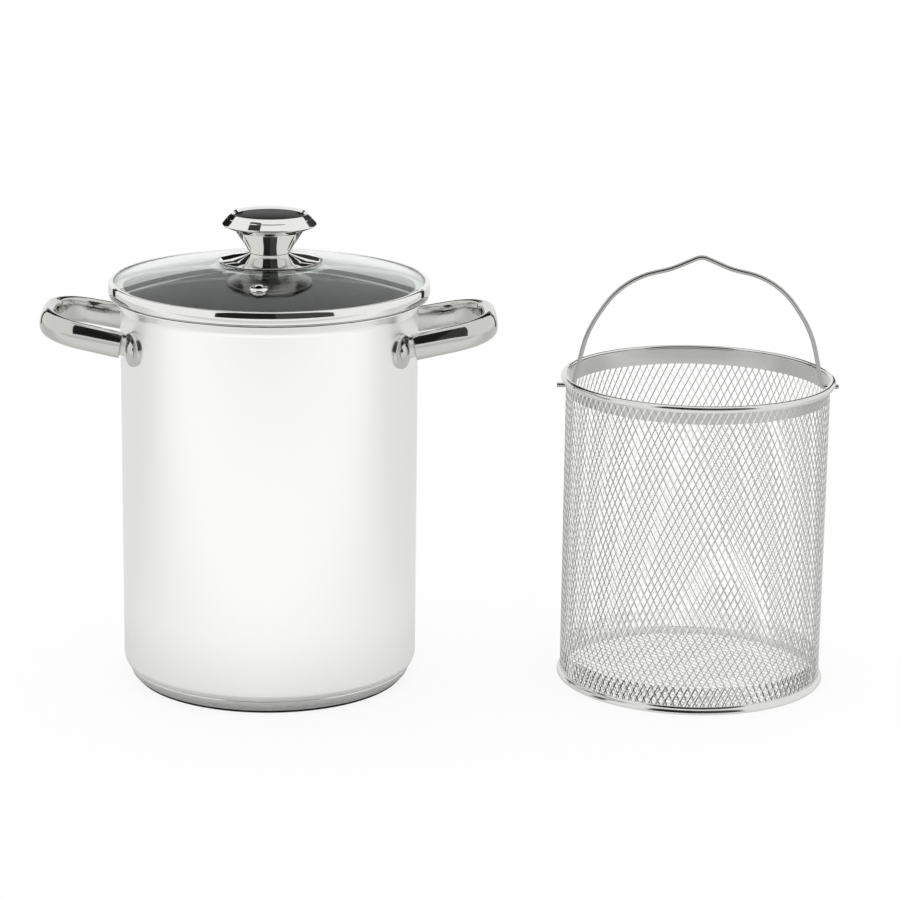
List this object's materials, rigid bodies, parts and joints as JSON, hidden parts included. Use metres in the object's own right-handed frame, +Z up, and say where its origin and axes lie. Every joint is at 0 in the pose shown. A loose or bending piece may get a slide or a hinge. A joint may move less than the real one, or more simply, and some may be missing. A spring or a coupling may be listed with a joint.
{
  "type": "asparagus pot",
  "caption": "Tall round steel pot with riveted loop handles and a domed glass lid, and a free-standing mesh lifting basket with a wire bail.",
  "frame": {"origin": "centre of the pot's flat foot, on the table", "axes": "+Z up along the pot's axis, +X from the pot to the basket that stands beside it, -Y towards the viewer"},
  "size_m": [0.4372, 0.1744, 0.2601],
  "materials": {
    "body_steel": "fine satin",
    "polished_steel": "mirror polish",
    "mesh_steel": "bright expanded sheet",
    "core_metal": "hidden core",
    "lid_glass": "clear tempered",
    "seal": "translucent silicone",
    "dark_inlay": "dark satin"
  },
  "bodies": {
    "pot": {"pot_body": "body_steel", "base_cap": "polished_steel", "base_core": "core_metal", "handle_left": "polished_steel", "handle_right": "polished_steel", "handle_rivets": "polished_steel"},
    "lid": {"lid_glass": "lid_glass", "lid_band": "polished_steel", "steam_vent": "polished_steel", "upper_seal": "seal", "lower_seal": "seal", "knob_washer": "polished_steel", "knob_screw": "polished_steel", "knob_base": "polished_steel", "knob_grip": "polished_steel", "knob_inlay": "dark_inlay"},
    "basket": {"basket_rim_ring": "polished_steel", "basket_foot_ring": "polished_steel", "basket_rim_band": "body_steel", "basket_side_mesh": "mesh_steel", "basket_floor_mesh": "mesh_steel"},
    "bail": {"basket_bail": "polished_steel"}
  },
  "joints": [
    {"name": "lid_lift", "type": "slide", "parent": "pot", "child": "lid", "axis": [0, 0, 1], "range_m": [0, 0.12]},
    {"name": "basket_lift", "type": "slide", "parent": "pot", "child": "basket", "axis": [0, 0, 1], "range_m": [0, 0.22]},
    {"name": "bail_swing", "type": "hinge", "parent": "basket", "child": "bail", "pos_m": [0.235, 0, 0.1655], "axis": [1, 0, 0], "range_deg": [-76, 76]}
  ]
}
